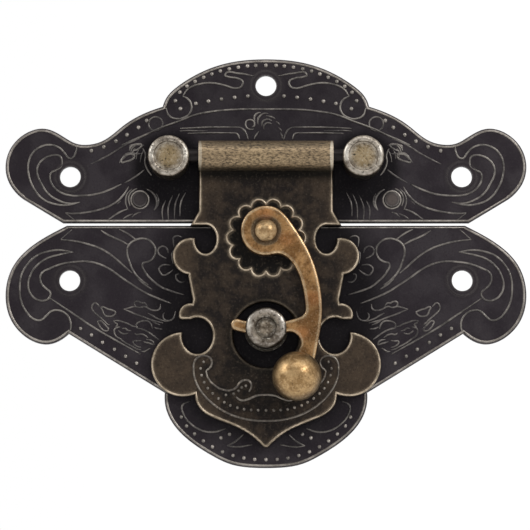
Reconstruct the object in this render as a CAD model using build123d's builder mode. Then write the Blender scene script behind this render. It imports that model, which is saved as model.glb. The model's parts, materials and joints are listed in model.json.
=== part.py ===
from build123d import *
import math
import os

# A decorative box hasp in antique bronze: two embossed plates, a hinged strap over both, and a
# swing hook whose tongue locks through a post. Sizes in mm. The back of the plates lies on
# Y = 0, the front faces -Y, +Z is up and +X is to the right as seen from the front. The origin
# is the middle of the four side screw holes. A depth is a distance in front of the back plane.

os.makedirs("parts", exist_ok=True)

# Plates
plate_thickness = 1.0
plate_edge_round = 0.4
seam_z = 0.7
seam_gap = 0.4

# Screw holes, each with a faint raised ring
screw_spacing_x = 62.0
screw_spacing_z = 16.5
screw_hole_radius = 1.65
top_screw_z = 22.8
screw_ring_width = 0.75
screw_ring_height = 0.12

# Upper plate outline, right half, with the ear's points as offsets from its screw hole
crown_top_z = 27.1
crown_shoulder = (9.5, 25.4)
crown_side = (14.3, 22.55)
crown_cusp = (16.4, 19.5)
crown_slope = (22.6, 16.5)
upper_valley = (-2.2, 5.15)
upper_ear = ((0.6, 6.1), (3.9, 7.7), (9.15, 5.15), (10.3, 1.6), (7.4, -3.55))
upper_ear_foot_x = 1.1

# Lower plate outline, right half, with the ear's points as offsets from its screw hole
lower_ear_foot_x = 0.5
lower_ear = ((6.2, 5.4), (8.9, 2.45), (10.15, -2.3), (8.65, -7.2), (4.0, -10.05), (0.1, -8.4))
bowl_corner = (15.95, -25.95)
bowl_side = (13.6, -32.1)
bowl_low = (8.2, -36.0)
bowl_bottom_z = -37.8

# Raised pips beside the hinge posts
pip_x = 19.95
pip_z = 4.6
pip_radius = 1.35
pip_height = 0.45
pip_taper = 25

# Hinge: two riveted posts carry the pin, and the strap's rolled barrel turns on it
pin_radius = 1.1
pin_z = 11.3
hinge_post_radius = 3.25
hinge_post_gap = 1.45
hinge_post_drop = 0.3
hinge_post_rise = 2.85
hinge_post_rim = 0.85
hinge_post_rim_round = 0.55
hinge_post_recess = 0.3
recess_edge_round = 0.2
pin_end_past_post_axis = 1.7
tenon_radius = 1.8
recess_taper = 30

# Hasp strap
strap_thickness = 1.2
strap_clearance = 0.3
barrel_clearance = 0.05
curl_slit = 0.15
neck_half_width = 10.6
strap_edge_round = 0.3
strap_hole_margin = 1.75
strap_hole_drop = 0.8
strap_tip_radius = 0.8

# Strap outline, right half: offsets from the neck's side at the seam's height
neck_foot = (0.0, 1.95)
flare_tip = (1.3, -0.3)
upper_lobe = (1.2, -5.2)
upper_lobe_radius = 2.95
upper_notch = (-1.08, -2.51)
upper_notch_size = (1.65, 2.21)
waist_top = (1.7, -8.3)

# Strap outline, right half: offsets from the neck's side at the catch post's height
waist_low = (0.95, 4.75)
middle_lobe = (1.3, 2.35)
middle_lobe_radius = 1.85
middle_lobe_corner_round = 0.5
lower_notch = (0.2, -0.95)
lower_notch_size = (2.4, 2.8)
notch_mouth_top = 1.6
notch_mouth_height = 1.9
lower_lobe = (2.4, -5.45)
lower_lobe_radius = 5.1
shoulder_top = (0.6, -10.4)
shoulder_bend = (-2.4, -13.9)
shoulder_ogee = (-6.7, -15.7)
strap_tip_drop = 18.9

# Rosette sunk in the strap round the hook's rivet
rosette_petals = 14
rosette_radius = 5.03
rosette_petal_radius = 1.17
rosette_drop = 1.0
rosette_depth = 0.3

# Catch post
catch_z = -16.1
catch_foot_radius = 3.4
catch_foot_height = 1.1
catch_body_radius = 2.85
catch_head_radius = 3.2
catch_head_height = 2.2
catch_head_gap = 0.5
catch_head_round = 0.6
catch_recess_radius = 1.7
catch_recess_depth = 0.3
slot_clearance = 0.2

# Hook: its pivot stands above the catch post by the radius of the tongue's arc
hook_thickness = 1.7
hook_clearance = 0.25
hook_edge_round = 0.35
tongue_arc_radius = 15.5
tongue_width = 1.8
tongue_tip_angle = -107.2
tongue_root_x = 6.2
tongue_inner_fillet = 1.2
tongue_outer_fillet = 1.6
ring_radius = 3.95
rivet_radius = 1.2
rivet_head_radius = 1.7
rivet_head_height = 1.25
rivet_head_skirt = 0.35
ring_recess_margin = 0.4
ring_recess_depth = 0.35
rivet_clearance = 0.05

# Hook outline, offsets from the pivot
arm_outer = ((8.2, -17.5), (8.8, -13.1), (8.35, -8.1), (6.85, -3.5), (4.15, 1.0))
arm_inner_reach = 3.2
arm_inner_bulge = (6.3, -8.0)
arm_heel = (6.1, -17.6)
arm_outer_angle = 75.0
arm_inner_angle = 286.0
pad_inner_angle = 150.0
pad_sweep = 195.0

# Ball knob, riveted through the round pad at the arm's end
ball_radius = 3.85
ball_x = 4.8
ball_drop = 23.1
ball_seat_depth = 0.5
ball_shank_radius = 1.0
ball_pad_radius = 2.1

# Places that follow from the sizes above
screw_x = screw_spacing_x / 2
screw_z = screw_spacing_z / 2
upper_plate_foot_z = seam_z + seam_gap / 2
lower_plate_top_z = seam_z - seam_gap / 2
barrel_bore_radius = pin_radius + barrel_clearance
barrel_radius = barrel_bore_radius + strap_thickness
strap_back = plate_thickness + strap_clearance
strap_front = strap_back + strap_thickness
pin_depth = strap_back + barrel_radius
hinge_post_x = neck_half_width + hinge_post_gap + hinge_post_radius
hinge_post_z = pin_z - hinge_post_drop
hinge_post_head_depth = pin_depth + hinge_post_rise
pivot_z = catch_z + tongue_arc_radius
strap_hole_z = catch_z - strap_hole_drop
strap_hole_radius = catch_foot_radius + strap_hole_margin
strap_tip_z = catch_z - strap_tip_drop
hook_back = strap_front + hook_clearance
hook_front = hook_back + hook_thickness
ball_z = pivot_z - ball_drop
ball_depth = hook_front + ball_radius - ball_seat_depth
slot_bottom = hook_back - slot_clearance
slot_top = hook_front + slot_clearance
catch_head_base = slot_top + catch_head_gap
catch_head_depth = catch_head_base + catch_head_height
tongue_sagitta = tongue_arc_radius - math.sqrt(tongue_arc_radius**2 - catch_body_radius**2)
slot_half_width = tongue_width / 2 + tongue_sagitta + slot_clearance


def at_depth(depth):
    return Plane.XZ.offset(depth)


def from_point(offset, x, z):
    return (x + offset[0], z + offset[1])


def polar_point(radius, degrees):
    angle = math.radians(degrees)
    return (radius * math.cos(angle), radius * math.sin(angle))


# Upper plate
with BuildPart() as upper_plate:
    with BuildSketch(at_depth(0)):
        with BuildLine():
            Spline(
                (0, crown_top_z), crown_shoulder, crown_side, crown_cusp,
                tangents=((1, 0), (0.25, -1)),
            )
            valley = from_point(upper_valley, screw_x, screw_z)
            Spline(crown_cusp, crown_slope, valley, tangents=((1, -0.3), (1, 0)))
            ear = Spline(
                valley,
                *[from_point(point, screw_x, screw_z) for point in upper_ear],
                tangents=((1, 0), (-1, -0.7)),
            )
            foot = (screw_x + upper_ear_foot_x, upper_plate_foot_z)
            Polyline(ear @ 1, foot, (0, upper_plate_foot_z))
            mirror(about=Plane.YZ)
        make_face()
    extrude(amount=plate_thickness)
    fillet(upper_plate.faces().sort_by(Axis.Y)[0].edges(), plate_edge_round)
    with BuildSketch(at_depth(plate_thickness)):
        with Locations((-screw_x, screw_z), (screw_x, screw_z), (0, top_screw_z)):
            Circle(screw_hole_radius + screw_ring_width)
    extrude(amount=screw_ring_height)
    with BuildSketch(at_depth(plate_thickness)):
        with Locations((-pip_x, pip_z), (pip_x, pip_z)):
            Circle(pip_radius)
    extrude(amount=pip_height, taper=pip_taper)
    with BuildSketch(at_depth(0)):
        with Locations((-screw_x, screw_z), (screw_x, screw_z), (0, top_screw_z)):
            Circle(screw_hole_radius)
        with Locations((-hinge_post_x, hinge_post_z), (hinge_post_x, hinge_post_z)):
            Circle(tenon_radius)
    extrude(amount=plate_thickness + screw_ring_height, mode=Mode.SUBTRACT)

# Lower plate
with BuildPart() as lower_plate:
    with BuildSketch(at_depth(0)):
        with BuildLine():
            ear = Spline(
                (screw_x + lower_ear_foot_x, lower_plate_top_z),
                *[from_point(point, screw_x, -screw_z) for point in lower_ear],
                tangents=((1, -0.5), (-1, 0.9)),
            )
            Line(ear @ 1, bowl_corner)
            Spline(
                bowl_corner, bowl_side, bowl_low, (0, bowl_bottom_z),
                tangents=((0.1, -1), (-1, 0)),
            )
            Line(ear @ 0, (0, lower_plate_top_z))
            mirror(about=Plane.YZ)
        make_face()
    extrude(amount=plate_thickness)
    fillet(lower_plate.faces().sort_by(Axis.Y)[0].edges(), plate_edge_round)
    with BuildSketch(at_depth(plate_thickness)):
        with Locations((-screw_x, -screw_z), (screw_x, -screw_z)):
            Circle(screw_hole_radius + screw_ring_width)
    extrude(amount=screw_ring_height)
    with BuildSketch(at_depth(0)):
        with Locations((-screw_x, -screw_z), (screw_x, -screw_z)):
            Circle(screw_hole_radius)
        with Locations((0, catch_z)):
            Circle(tenon_radius)
    extrude(amount=plate_thickness + screw_ring_height, mode=Mode.SUBTRACT)


# One round post: a tenon riveted flush in the plate, a body and a dished head
def make_hinge_post(side):
    axis = Axis((side * hinge_post_x, 0, hinge_post_z), (0, -1, 0))
    section_plane = Plane((side * hinge_post_x, 0, hinge_post_z), x_dir=(1, 0, 0), z_dir=(0, 0, 1))
    with BuildPart() as post:
        with BuildSketch(section_plane):
            with BuildLine():
                Polyline(
                    (0, 0),
                    (tenon_radius, 0),
                    (tenon_radius, -plate_thickness),
                    (hinge_post_radius, -plate_thickness),
                    (hinge_post_radius, -hinge_post_head_depth),
                    (0, -hinge_post_head_depth),
                    close=True,
                )
            make_face()
        revolve(axis=axis)
        head = post.faces().sort_by(Axis.Y)[0]
        fillet(head.edges(), hinge_post_rim_round)
        with BuildSketch(at_depth(hinge_post_head_depth)):
            with Locations((side * hinge_post_x, hinge_post_z)):
                Circle(hinge_post_radius - hinge_post_rim)
        extrude(amount=-hinge_post_recess, mode=Mode.SUBTRACT, taper=recess_taper)
        rims = post.edges().filter_by_position(Axis.Y, -hinge_post_head_depth, -hinge_post_head_depth)
        fillet(rims.sort_by(SortBy.LENGTH)[0], recess_edge_round)
        bore_plane = Plane(
            (side * (hinge_post_x + pin_end_past_post_axis), -pin_depth, pin_z),
            x_dir=(0, 1, 0),
            z_dir=(-side, 0, 0),
        )
        with BuildSketch(bore_plane):
            Circle(pin_radius)
        extrude(amount=hinge_post_radius + pin_end_past_post_axis, mode=Mode.SUBTRACT)
    return post.part


left_hinge_post = make_hinge_post(-1)
right_hinge_post = make_hinge_post(1)

# Hinge pin, held in blind bores of both posts
pin_half_length = hinge_post_x + pin_end_past_post_axis
with BuildPart() as hinge_pin:
    with BuildSketch(Plane((-pin_half_length, -pin_depth, pin_z), x_dir=(0, 1, 0), z_dir=(1, 0, 0))):
        Circle(pin_radius)
    extrude(amount=2 * pin_half_length)


def from_seam(offset):
    return from_point(offset, neck_half_width, seam_z)


def from_catch(offset):
    return from_point(offset, neck_half_width, catch_z)


# Both mirrored places of a point on the strap's right half
def both_sides(point):
    return Locations((-point[0], point[1]), (point[0], point[1]))


# Hasp strap: a shaped sheet with a rolled barrel at its top
with BuildPart() as hasp_strap:
    with BuildSketch(at_depth(strap_back)) as strap_outline:
        with BuildLine():
            Polyline(
                (0, pin_z),
                (neck_half_width, pin_z),
                from_seam(neck_foot),
                from_seam(flare_tip),
                from_seam((upper_notch[0], flare_tip[1])),
                from_seam((upper_notch[0], upper_lobe[1])),
                from_seam(upper_lobe),
                from_seam(waist_top),
                from_catch(waist_low),
                from_catch(middle_lobe),
                from_catch((shoulder_top[0], lower_lobe[1])),
                from_catch(shoulder_top),
            )
            Spline(
                from_catch(shoulder_top),
                from_catch(shoulder_bend),
                from_catch(shoulder_ogee),
                (0, strap_tip_z),
                tangents=((-0.1, -1), (-0.85, -1)),
            )
            mirror(about=Plane.YZ)
        make_face()
        with both_sides(from_seam(upper_lobe)):
            Circle(upper_lobe_radius)
        with both_sides(from_catch(middle_lobe)):
            Circle(middle_lobe_radius)
        with both_sides(from_catch(lower_lobe)):
            Circle(lower_lobe_radius)
        with both_sides(from_seam(upper_notch)):
            Ellipse(*upper_notch_size, mode=Mode.SUBTRACT)
        with both_sides(from_catch(lower_notch)):
            Ellipse(*lower_notch_size, mode=Mode.SUBTRACT)
        mouth_half_width = lower_notch_size[0]
        mouth = (lower_notch[0] + mouth_half_width, notch_mouth_top - notch_mouth_height / 2)
        with both_sides(from_catch(mouth)):
            Rectangle(2 * mouth_half_width, notch_mouth_height, mode=Mode.SUBTRACT)
        mouth_top = catch_z + notch_mouth_top
        level = (mouth_top - 0.01, mouth_top + 0.01)
        corners = strap_outline.vertices().filter_by_position(Axis.Y, *level).sort_by(Axis.X)
        fillet([corners[0], corners[-1]], middle_lobe_corner_round)
        tip = strap_outline.vertices().sort_by(Axis.Y)[0]
        fillet(tip, strap_tip_radius)
        with Locations((0, strap_hole_z)):
            Circle(strap_hole_radius, mode=Mode.SUBTRACT)
    extrude(amount=strap_thickness)
    front_edges = hasp_strap.faces().sort_by(Axis.Y)[0].edges()
    fillet(front_edges.sort_by(Axis.Z)[:-1], strap_edge_round)
    with BuildSketch(at_depth(strap_front)):
        with Locations((0, pivot_z - rosette_drop)):
            Circle(rosette_radius)
            with PolarLocations(rosette_radius, rosette_petals):
                Circle(rosette_petal_radius)
    extrude(amount=-rosette_depth, mode=Mode.SUBTRACT)
    barrel_plane = Plane((-neck_half_width, -pin_depth, pin_z), x_dir=(0, -1, 0), z_dir=(1, 0, 0))
    with BuildSketch(barrel_plane):
        Circle(barrel_radius)
    extrude(amount=2 * neck_half_width)
    with BuildSketch(barrel_plane):
        Circle(barrel_bore_radius)
    extrude(amount=2 * neck_half_width, mode=Mode.SUBTRACT)
    with BuildSketch(Plane((-neck_half_width, 0, 0), x_dir=(0, -1, 0), z_dir=(1, 0, 0))):
        with Locations((strap_front + curl_slit / 2, pin_z - barrel_radius / 2)):
            Rectangle(curl_slit, barrel_radius)
    extrude(amount=2 * neck_half_width, mode=Mode.SUBTRACT)
    with BuildSketch(at_depth(0)):
        with Locations((0, pivot_z)):
            Circle(rivet_radius)
    extrude(amount=strap_front, mode=Mode.SUBTRACT)

# Catch post: foot, body with a cross slot for the tongue, and a dished head
catch_axis = Axis((0, 0, catch_z), (0, -1, 0))
with BuildPart() as catch_post:
    with BuildSketch(Plane((0, 0, catch_z), x_dir=(1, 0, 0), z_dir=(0, 0, 1))):
        with BuildLine():
            Polyline(
                (0, 0),
                (tenon_radius, 0),
                (tenon_radius, -plate_thickness),
                (catch_foot_radius, -plate_thickness),
                (catch_foot_radius, -plate_thickness - catch_foot_height),
                (catch_body_radius, -plate_thickness - catch_foot_height),
                (catch_body_radius, -catch_head_base),
                (catch_head_radius, -catch_head_base),
                (catch_head_radius, -catch_head_depth),
                (0, -catch_head_depth),
                close=True,
            )
        make_face()
    revolve(axis=catch_axis)
    fillet(catch_post.faces().sort_by(Axis.Y)[0].edges(), catch_head_round)
    with BuildSketch(at_depth(catch_head_depth)):
        with Locations((0, catch_z)):
            Circle(catch_recess_radius)
    extrude(amount=-catch_recess_depth, mode=Mode.SUBTRACT, taper=recess_taper)
    rims = catch_post.edges().filter_by_position(Axis.Y, -catch_head_depth, -catch_head_depth)
    fillet(rims.sort_by(SortBy.LENGTH)[0], recess_edge_round)
    with BuildSketch(at_depth(slot_bottom)):
        with Locations((0, catch_z)):
            Rectangle(2 * catch_foot_radius, 2 * slot_half_width)
    extrude(amount=slot_top - slot_bottom, mode=Mode.SUBTRACT)

# Hook arm: ring, crescent arm, tongue on an arc about the pivot, and pad for the ball
tongue_high = tongue_arc_radius - tongue_width / 2
tongue_low = tongue_arc_radius + tongue_width / 2
high_root_angle = -math.degrees(math.acos(tongue_root_x / tongue_high))
low_root_angle = -math.degrees(math.acos(tongue_root_x / tongue_low))
with BuildPart() as hook_arm:
    with BuildSketch(at_depth(hook_back)) as hook_outline:
        with BuildLine():
            pivot = (0, pivot_z)
            ring = CenterArc(pivot, ring_radius, arm_outer_angle, arm_inner_angle - arm_outer_angle)
            high_arc = CenterArc(
                pivot, tongue_high, high_root_angle, tongue_tip_angle - high_root_angle
            )
            Bezier(
                ring @ 1,
                ring @ 1 + ring % 1 * arm_inner_reach,
                from_point(arm_inner_bulge, 0, pivot_z),
                high_arc @ 0,
            )
            low_arc = CenterArc(pivot, tongue_low, tongue_tip_angle, low_root_angle - tongue_tip_angle)
            TangentArc(high_arc @ 1, low_arc @ 0, tangent=high_arc % 1)
            pad = CenterArc((ball_x, ball_z), ball_pad_radius, pad_inner_angle, pad_sweep)
            Bezier(
                low_arc @ 1,
                from_point(arm_heel, 0, pivot_z),
                pad @ 0 - pad % 0 * ball_pad_radius,
                pad @ 0,
            )
            Spline(
                pad @ 1,
                *[from_point(point, 0, pivot_z) for point in arm_outer],
                ring @ 0,
                tangents=(pad % 1, ring % 0),
            )
        make_face()
        high_corner = polar_point(tongue_high, high_root_angle)
        low_corner = polar_point(tongue_low, low_root_angle)
        for corner, radius in (
            (high_corner, tongue_inner_fillet),
            (low_corner, tongue_outer_fillet),
        ):
            place = from_point(corner, 0, pivot_z)
            fillet(hook_outline.vertices().sort_by_distance(place)[0], radius)
    extrude(amount=hook_thickness)
    fillet(hook_arm.faces().sort_by(Axis.Y)[0].edges(), hook_edge_round)
    with BuildSketch(at_depth(hook_front)):
        with Locations((0, pivot_z)):
            Circle(rivet_head_radius + ring_recess_margin)
    extrude(amount=-ring_recess_depth, mode=Mode.SUBTRACT)
    with BuildSketch(at_depth(hook_back)):
        with Locations((0, pivot_z)):
            Circle(rivet_radius + rivet_clearance)
        with Locations((ball_x, ball_z)):
            Circle(ball_shank_radius)
    extrude(amount=hook_thickness, mode=Mode.SUBTRACT)

# Hook rivet: shank peened flush behind the strap, domed head in the ring's recess
rivet_head_base = hook_front - ring_recess_depth + rivet_clearance
rivet_top = rivet_head_base + rivet_head_height
with BuildPart() as hook_rivet:
    with BuildSketch(Plane((0, 0, pivot_z), x_dir=(1, 0, 0), z_dir=(0, 0, 1))):
        with BuildLine():
            Polyline(
                (0, -strap_back),
                (rivet_radius, -strap_back),
                (rivet_radius, -rivet_head_base),
                (rivet_head_radius, -rivet_head_base),
                (rivet_head_radius, -rivet_head_base - rivet_head_skirt),
            )
            TangentArc(
                (0, -rivet_top),
                (rivet_head_radius, -rivet_head_base - rivet_head_skirt),
                tangent=(1, 0),
            )
            Line((0, -rivet_top), (0, -strap_back))
        make_face()
    revolve(axis=Axis((0, 0, pivot_z), (0, -1, 0)))

# Ball knob: a turned ball with a flat seat and a shank peened through the arm's pad
with BuildPart() as ball_knob:
    with Locations((ball_x, -ball_depth, ball_z)):
        Sphere(ball_radius)
    split(bisect_by=at_depth(hook_front), keep=Keep.TOP)
    with BuildSketch(at_depth(hook_back)):
        with Locations((ball_x, ball_z)):
            Circle(ball_shank_radius)
    extrude(amount=ball_depth - hook_back)

pieces = {
    "upper_plate": upper_plate.part,
    "lower_plate": lower_plate.part,
    "left_hinge_post": left_hinge_post,
    "right_hinge_post": right_hinge_post,
    "hinge_pin": hinge_pin.part,
    "hasp_strap": hasp_strap.part,
    "catch_post": catch_post.part,
    "hook_arm": hook_arm.part,
    "hook_rivet": hook_rivet.part,
    "ball_knob": ball_knob.part,
}
for name, piece in pieces.items():
    piece.label = name
    export_step(piece, f"parts/{name}.step")
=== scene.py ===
import bpy
import bmesh
import json
import math
from mathutils import Matrix, Vector


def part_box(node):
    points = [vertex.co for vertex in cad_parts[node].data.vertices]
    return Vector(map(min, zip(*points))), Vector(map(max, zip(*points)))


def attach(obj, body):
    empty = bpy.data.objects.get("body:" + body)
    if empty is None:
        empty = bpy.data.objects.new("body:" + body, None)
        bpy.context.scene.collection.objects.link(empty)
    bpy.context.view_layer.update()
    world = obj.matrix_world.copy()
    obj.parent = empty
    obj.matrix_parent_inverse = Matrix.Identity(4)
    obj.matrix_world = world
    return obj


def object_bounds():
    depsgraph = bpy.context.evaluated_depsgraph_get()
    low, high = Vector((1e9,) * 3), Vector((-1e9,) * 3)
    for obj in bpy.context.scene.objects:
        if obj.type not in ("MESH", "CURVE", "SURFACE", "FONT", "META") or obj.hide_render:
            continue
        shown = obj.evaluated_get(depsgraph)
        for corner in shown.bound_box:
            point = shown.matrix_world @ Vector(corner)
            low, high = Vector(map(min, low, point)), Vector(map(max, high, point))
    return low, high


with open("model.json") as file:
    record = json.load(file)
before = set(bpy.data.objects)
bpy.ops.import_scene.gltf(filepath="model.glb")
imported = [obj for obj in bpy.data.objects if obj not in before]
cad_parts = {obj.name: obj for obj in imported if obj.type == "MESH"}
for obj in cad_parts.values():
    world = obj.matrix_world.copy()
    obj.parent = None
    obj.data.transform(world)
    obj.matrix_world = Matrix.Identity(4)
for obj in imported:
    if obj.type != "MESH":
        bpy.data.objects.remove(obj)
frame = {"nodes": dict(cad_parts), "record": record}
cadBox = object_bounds()
nodes = frame["nodes"]
mm = 0.001
print("frame loaded with", len(nodes), "nodes")


# Places on the front are (x, z) in mm. A depth is in mm in front of the back of the plates.
def middleOf(node):
    low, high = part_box(node)
    return ((low.x + high.x) / 2 / mm, (low.z + high.z) / 2 / mm)


def frontOf(node):
    return -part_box(node)[0].y / mm


def backOf(node):
    return -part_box(node)[1].y / mm


# sizes and places in mm that the frame doesn't give
smallSizes = {"ringRise": 0.12, "strapThickness": 1.2, "pip": (19.95, 4.6), "barrelEnd": 10.35}
plateFace = frontOf("lower_plate") - smallSizes["ringRise"]  # the flat face, behind the screw rings
strapFace = backOf("hasp_strap") + smallSizes["strapThickness"]
rightPost = middleOf("right_hinge_post")
leftPost = (-rightPost[0], rightPost[1])
catchPost = middleOf("catch_post")
hookPivot = middleOf("hook_rivet")
barrelZ = middleOf("hinge_pin")[1]
mounts = {mount["name"]: mount for mount in frame["record"]["mounts"]}
holeX = mounts["screw_holes"]["dims"]["spacing_x_mm"] / 2
holeZ = mounts["screw_holes"]["dims"]["spacing_y_mm"] / 2
topHoleZ = mounts["top_screw_hole"]["pos_m"][2] / mm
screwHoles = ((-holeX, holeZ), (holeX, holeZ), (-holeX, -holeZ), (holeX, -holeZ), (0, topHoleZ))

# The photo's camera looks at a point "aim" in mm from a distance, and sees a width of mm there
view = {
    "azimuth": 0.0, "elevation": -5.0, "distance": 500.0, "aim": (-0.155, -1.0, -5.77), "width": 83.74,
    "sensor": 36.0, "near": 10.0, "far": 10000.0, "pixels": 530,
}
viewTurn = Matrix.Rotation(math.radians(view["azimuth"]), 3, "Z")
viewRise = Matrix.Rotation(-math.radians(view["elevation"]), 3, "X")
viewRight = viewTurn @ Vector((1, 0, 0))
viewBack = viewTurn @ viewRise @ Vector((0, -1, 0))
viewUp = viewBack.cross(viewRight)

# How every finish weathers, and how its spots of painted shade and highlight fade: the values between which
# each effect sets in, then its least and its most where these aren't 0 and 1
weathering = {
    "cloud": {"detail": 4, "rough": 0.6},
    "grain": {"detail": 3, "rough": 0.65},
    "patches": (0.38, 0.64),
    "mottle": (0.36, 0.64),
    "specks": (0.54, 0.70),
    "pits": (0.46, 0.30),
    "gloss": (0.30, 0.70),
    "blotches": (0.36, 0.60, 0.35, 1.0),
    "broken": (0.28, 0.58, 0.35, 1.0),
    "gritty": (0.25, 0.60, 0.55, 1.0),
    "edge": (0.9995, 0.95),
    "edgeSamples": 6,
    "turned": (0.45, 0.85),
    "wallWear": 0.1,
    "spotFade": (1.15, 0.80),
    "depthFade": 0.6,
    "cloudBump": 0.6,
}


# Small helpers for node trees
def emptyTree(owner):
    owner.use_nodes = True
    owner.node_tree.nodes.clear()
    return owner.node_tree


def socket(tree, value, target):
    if isinstance(value, bpy.types.NodeSocket):
        tree.links.new(value, target)
    elif isinstance(value, tuple):
        target.default_value = (*value, 1.0)
    else:
        target.default_value = value


def noise(tree, place, size, detail, rough, stretch=(1, 1, 1)):
    mapping = tree.nodes.new("ShaderNodeMapping")
    mapping.inputs["Scale"].default_value = [1 / (size * mm * s) for s in stretch]
    tree.links.new(place, mapping.inputs["Vector"])
    texture = tree.nodes.new("ShaderNodeTexNoise")
    texture.inputs["Scale"].default_value = 1.0
    texture.inputs["Detail"].default_value = detail
    texture.inputs["Roughness"].default_value = rough
    tree.links.new(mapping.outputs[0], texture.inputs["Vector"])
    return texture.outputs[0]


def spread(tree, value, low, high, bottom=0.0, top=1.0):
    node = tree.nodes.new("ShaderNodeMapRange")
    node.interpolation_type = "SMOOTHSTEP"
    for name, number in (("From Min", low), ("From Max", high), ("To Min", bottom), ("To Max", top)):
        node.inputs[name].default_value = number
    socket(tree, value, node.inputs["Value"])
    return node.outputs[0]


def maths(tree, operation, first, second=0.0):
    node = tree.nodes.new("ShaderNodeMath")
    node.operation = operation
    socket(tree, first, node.inputs[0])
    socket(tree, second, node.inputs[1])
    return node.outputs[0]


def times(tree, first, *others):
    for other in others:
        first = maths(tree, "MULTIPLY", first, other)
    return first


def tone(tree, factor, first, second):
    node = tree.nodes.new("ShaderNodeMix")
    node.data_type = "RGBA"
    socket(tree, factor, node.inputs[0])
    socket(tree, first, node.inputs[6])
    socket(tree, second, node.inputs[7])
    return node.outputs[2]


def awayFrom(tree, place, centre, size):
    # distance from the middle of an ellipse in the plane of the plates, 1 on its border
    mapping = tree.nodes.new("ShaderNodeMapping")
    mapping.inputs["Location"].default_value = (-centre[0] / size[0], 0, -centre[1] / size[1])
    mapping.inputs["Scale"].default_value = (1 / (size[0] * mm), 0, 1 / (size[1] * mm))
    tree.links.new(place, mapping.inputs["Vector"])
    length = tree.nodes.new("ShaderNodeVectorMath")
    length.operation = "LENGTH"
    tree.links.new(mapping.outputs[0], length.inputs[0])
    return length.outputs["Value"]


def edgeMask(tree, reach):
    # how far a rounded edge would turn the surface here: 1 at an edge, 0 beyond its reach
    bevel = tree.nodes.new("ShaderNodeBevel")
    bevel.samples = weathering["edgeSamples"]
    bevel.inputs["Radius"].default_value = reach * mm
    geometry = tree.nodes.new("ShaderNodeNewGeometry")
    product = tree.nodes.new("ShaderNodeVectorMath")
    product.operation = "DOT_PRODUCT"
    tree.links.new(bevel.outputs[0], product.inputs[0])
    tree.links.new(geometry.outputs["Normal"], product.inputs[1])
    return spread(tree, product.outputs["Value"], *weathering["edge"])


def spotMask(tree, place, depth, cloud, spot):
    # a mark by distance from a point, which paints shade and highlights as well as tone and wear: a ring if
    # "hollow", broken up if "patchy", and only on what lies deeper than "behind"
    away = awayFrom(tree, place, spot["centre"], spot["size"])
    mask = spread(tree, away, *spot.get("fade", weathering["spotFade"]), 0.0, spot["amount"])
    if "hollow" in spot:
        mask = times(tree, mask, spread(tree, away, *spot["hollow"]))
    if spot.get("patchy"):
        mask = times(tree, mask, spread(tree, cloud, *weathering["blotches"]))
    if "behind" in spot:
        near = spot["behind"] + weathering["depthFade"]
        mask = times(tree, mask, spread(tree, depth, near, spot["behind"]))
    return mask


def rubbedEdges(tree, objectNormal, look, cloud, grain):
    # rubbed bright along the edges of the front, and left dark on the side walls
    normal = tree.nodes.new("ShaderNodeSeparateXYZ")
    tree.links.new(objectNormal, normal.inputs[0])
    turned = maths(tree, "ABSOLUTE", normal.outputs[1])
    front = spread(tree, turned, *look.get("turned", weathering["turned"]), weathering["wallWear"], 1.0)
    broken = spread(tree, cloud, *weathering["broken"])
    gritty = spread(tree, grain, *weathering["gritty"])
    return times(tree, edgeMask(tree, look["edgeReach"]), front, broken, gritty, look["edgeWear"])


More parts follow.
